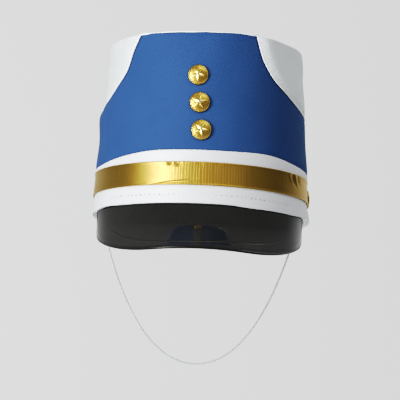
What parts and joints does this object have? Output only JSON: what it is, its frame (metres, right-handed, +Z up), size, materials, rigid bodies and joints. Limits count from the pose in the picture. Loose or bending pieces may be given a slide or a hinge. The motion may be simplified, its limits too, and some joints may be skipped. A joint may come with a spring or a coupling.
{
  "type": "marching band hat",
  "caption": "Tall oval cloth band hat with a flat top, piped front panel, ribboned lower band, sloping moulded peak, domed buttons and a hanging chin elastic.",
  "frame": {"origin": "middle of the head opening, level with the crown's lower edge", "axes": "+Z up along the crown, -Y forward where the peak points, +X to the right as seen from the front"},
  "size_m": [0.198, 0.2523, 0.2793],
  "materials": {
    "white_cloth": "smooth white polyester with a soft sheen",
    "blue_twill": "matt royal blue twill",
    "white_piping_cloth": "white piping cord",
    "white_leatherette": "satin white leatherette with a needle row",
    "gold_ribbon_cloth": "shiny metallic gold ribbon with a fine mesh weave",
    "black_plastic": "glossy black moulded plastic",
    "gold_metal": "bright gold, stamped",
    "elastic": "thin pale elastic cord"
  },
  "bodies": {
    "root": {"crown": "white_cloth", "crown_top": "white_cloth", "blue_panel": "blue_twill", "white_piping": "white_piping_cloth", "lower_band": "white_leatherette", "gold_ribbon": "gold_ribbon_cloth", "peak": "black_plastic", "button_upper": "gold_metal", "button_middle": "gold_metal", "button_lower": "gold_metal", "side_button_left": "gold_metal", "side_button_right": "gold_metal", "chin_elastic": "elastic", "strap_knot_left": "elastic", "strap_knot_right": "elastic"}
  },
  "joints": []
}
